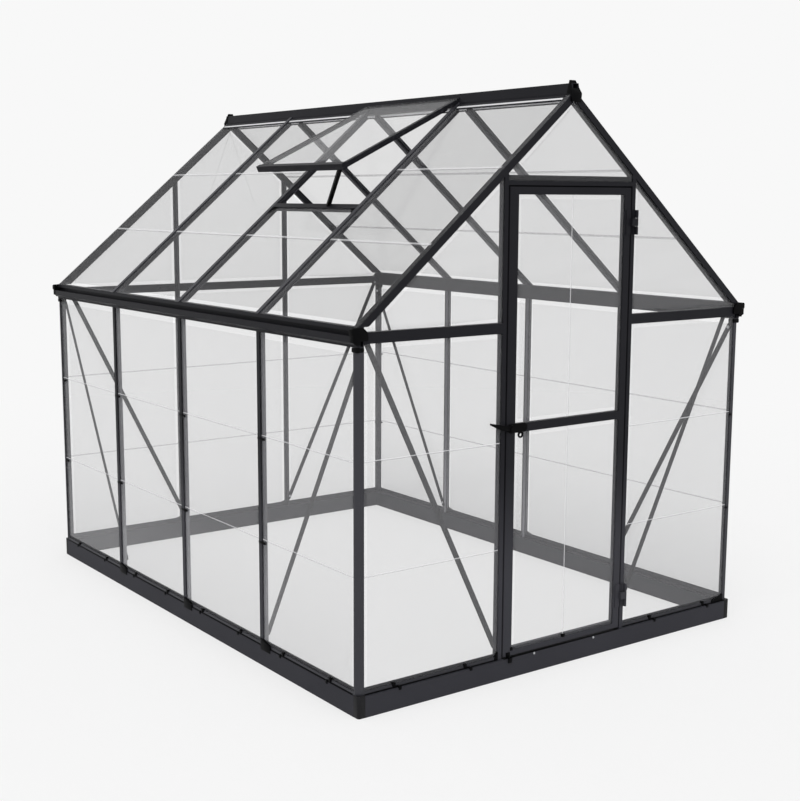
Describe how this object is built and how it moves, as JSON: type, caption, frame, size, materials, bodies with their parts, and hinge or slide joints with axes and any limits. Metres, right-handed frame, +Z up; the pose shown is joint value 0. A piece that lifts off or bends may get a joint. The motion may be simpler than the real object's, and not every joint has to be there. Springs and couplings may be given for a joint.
{
  "type": "greenhouse",
  "caption": "Walk-in gable greenhouse: dark aluminium frame on a low folded base, clear sheet glazing, gutters, open roof vent and a hinged front door with a turning handle",
  "frame": {"origin": "middle of the base footprint on the ground", "axes": "+X right seen from the door, -Y towards the door gable, +Z up"},
  "size_m": [1.861, 2.478, 2.084],
  "materials": {
    "frame_aluminium": "charcoal powder coat, satin",
    "base_steel": "charcoal coated folded steel, satin",
    "brace_steel": "charcoal coated flat bar",
    "black_plastic": "moulded, matt black",
    "clear_sheet": "clear extruded polycarbonate sheet"
  },
  "bodies": {
    "frame": {"base_front": "base_steel", "base_rear": "base_steel", "base_left": "base_steel", "base_right": "base_steel", "base_corners": "black_plastic", "left_sills": "frame_aluminium", "right_sills": "frame_aluminium", "rear_sills": "frame_aluminium", "front_sills": "frame_aluminium", "corner_posts": "frame_aluminium", "left_studs": "frame_aluminium", "right_studs": "frame_aluminium", "rear_studs": "frame_aluminium", "door_jambs": "frame_aluminium", "door_header": "frame_aluminium", "left_gutter": "frame_aluminium", "right_gutter": "frame_aluminium", "gutter_end_caps": "black_plastic", "front_eave_rails": "frame_aluminium", "rear_eave_rails": "frame_aluminium", "front_gable_rafters": "frame_aluminium", "rear_gable_rafters": "frame_aluminium", "left_rafters": "frame_aluminium", "right_rafters": "frame_aluminium", "ridge_beam": "frame_aluminium", "ridge_end_caps": "black_plastic", "side_braces": "brace_steel", "gable_braces": "brace_steel", "left_panes": "clear_sheet", "right_panes": "clear_sheet", "front_panes": "clear_sheet", "rear_panes": "clear_sheet", "left_roof_panes": "clear_sheet", "right_roof_panes": "clear_sheet", "vent_hinge_bar": "frame_aluminium", "vent_side_bars": "frame_aluminium", "vent_lower_bar": "frame_aluminium", "vent_pane": "clear_sheet", "vent_sill": "frame_aluminium", "vent_stay": "black_plastic", "jamb_hinges": "black_plastic"},
    "door": {"door_stiles": "frame_aluminium", "door_rails": "frame_aluminium", "door_panes": "clear_sheet", "door_hinges": "black_plastic", "handle_rose": "black_plastic"},
    "handle": {"door_handle": "black_plastic"}
  },
  "joints": [
    {"name": "door_swing", "type": "hinge", "parent": "frame", "child": "door", "pos_m": [0.31, -1.235, 0.9], "axis": [0, 0, 1], "range_deg": [0, 110]},
    {"name": "handle_turn", "type": "hinge", "parent": "door", "child": "handle", "pos_m": [-0.269, -1.225, 0.897], "axis": [0, -1, 0], "range_deg": [0, 90]}
  ]
}
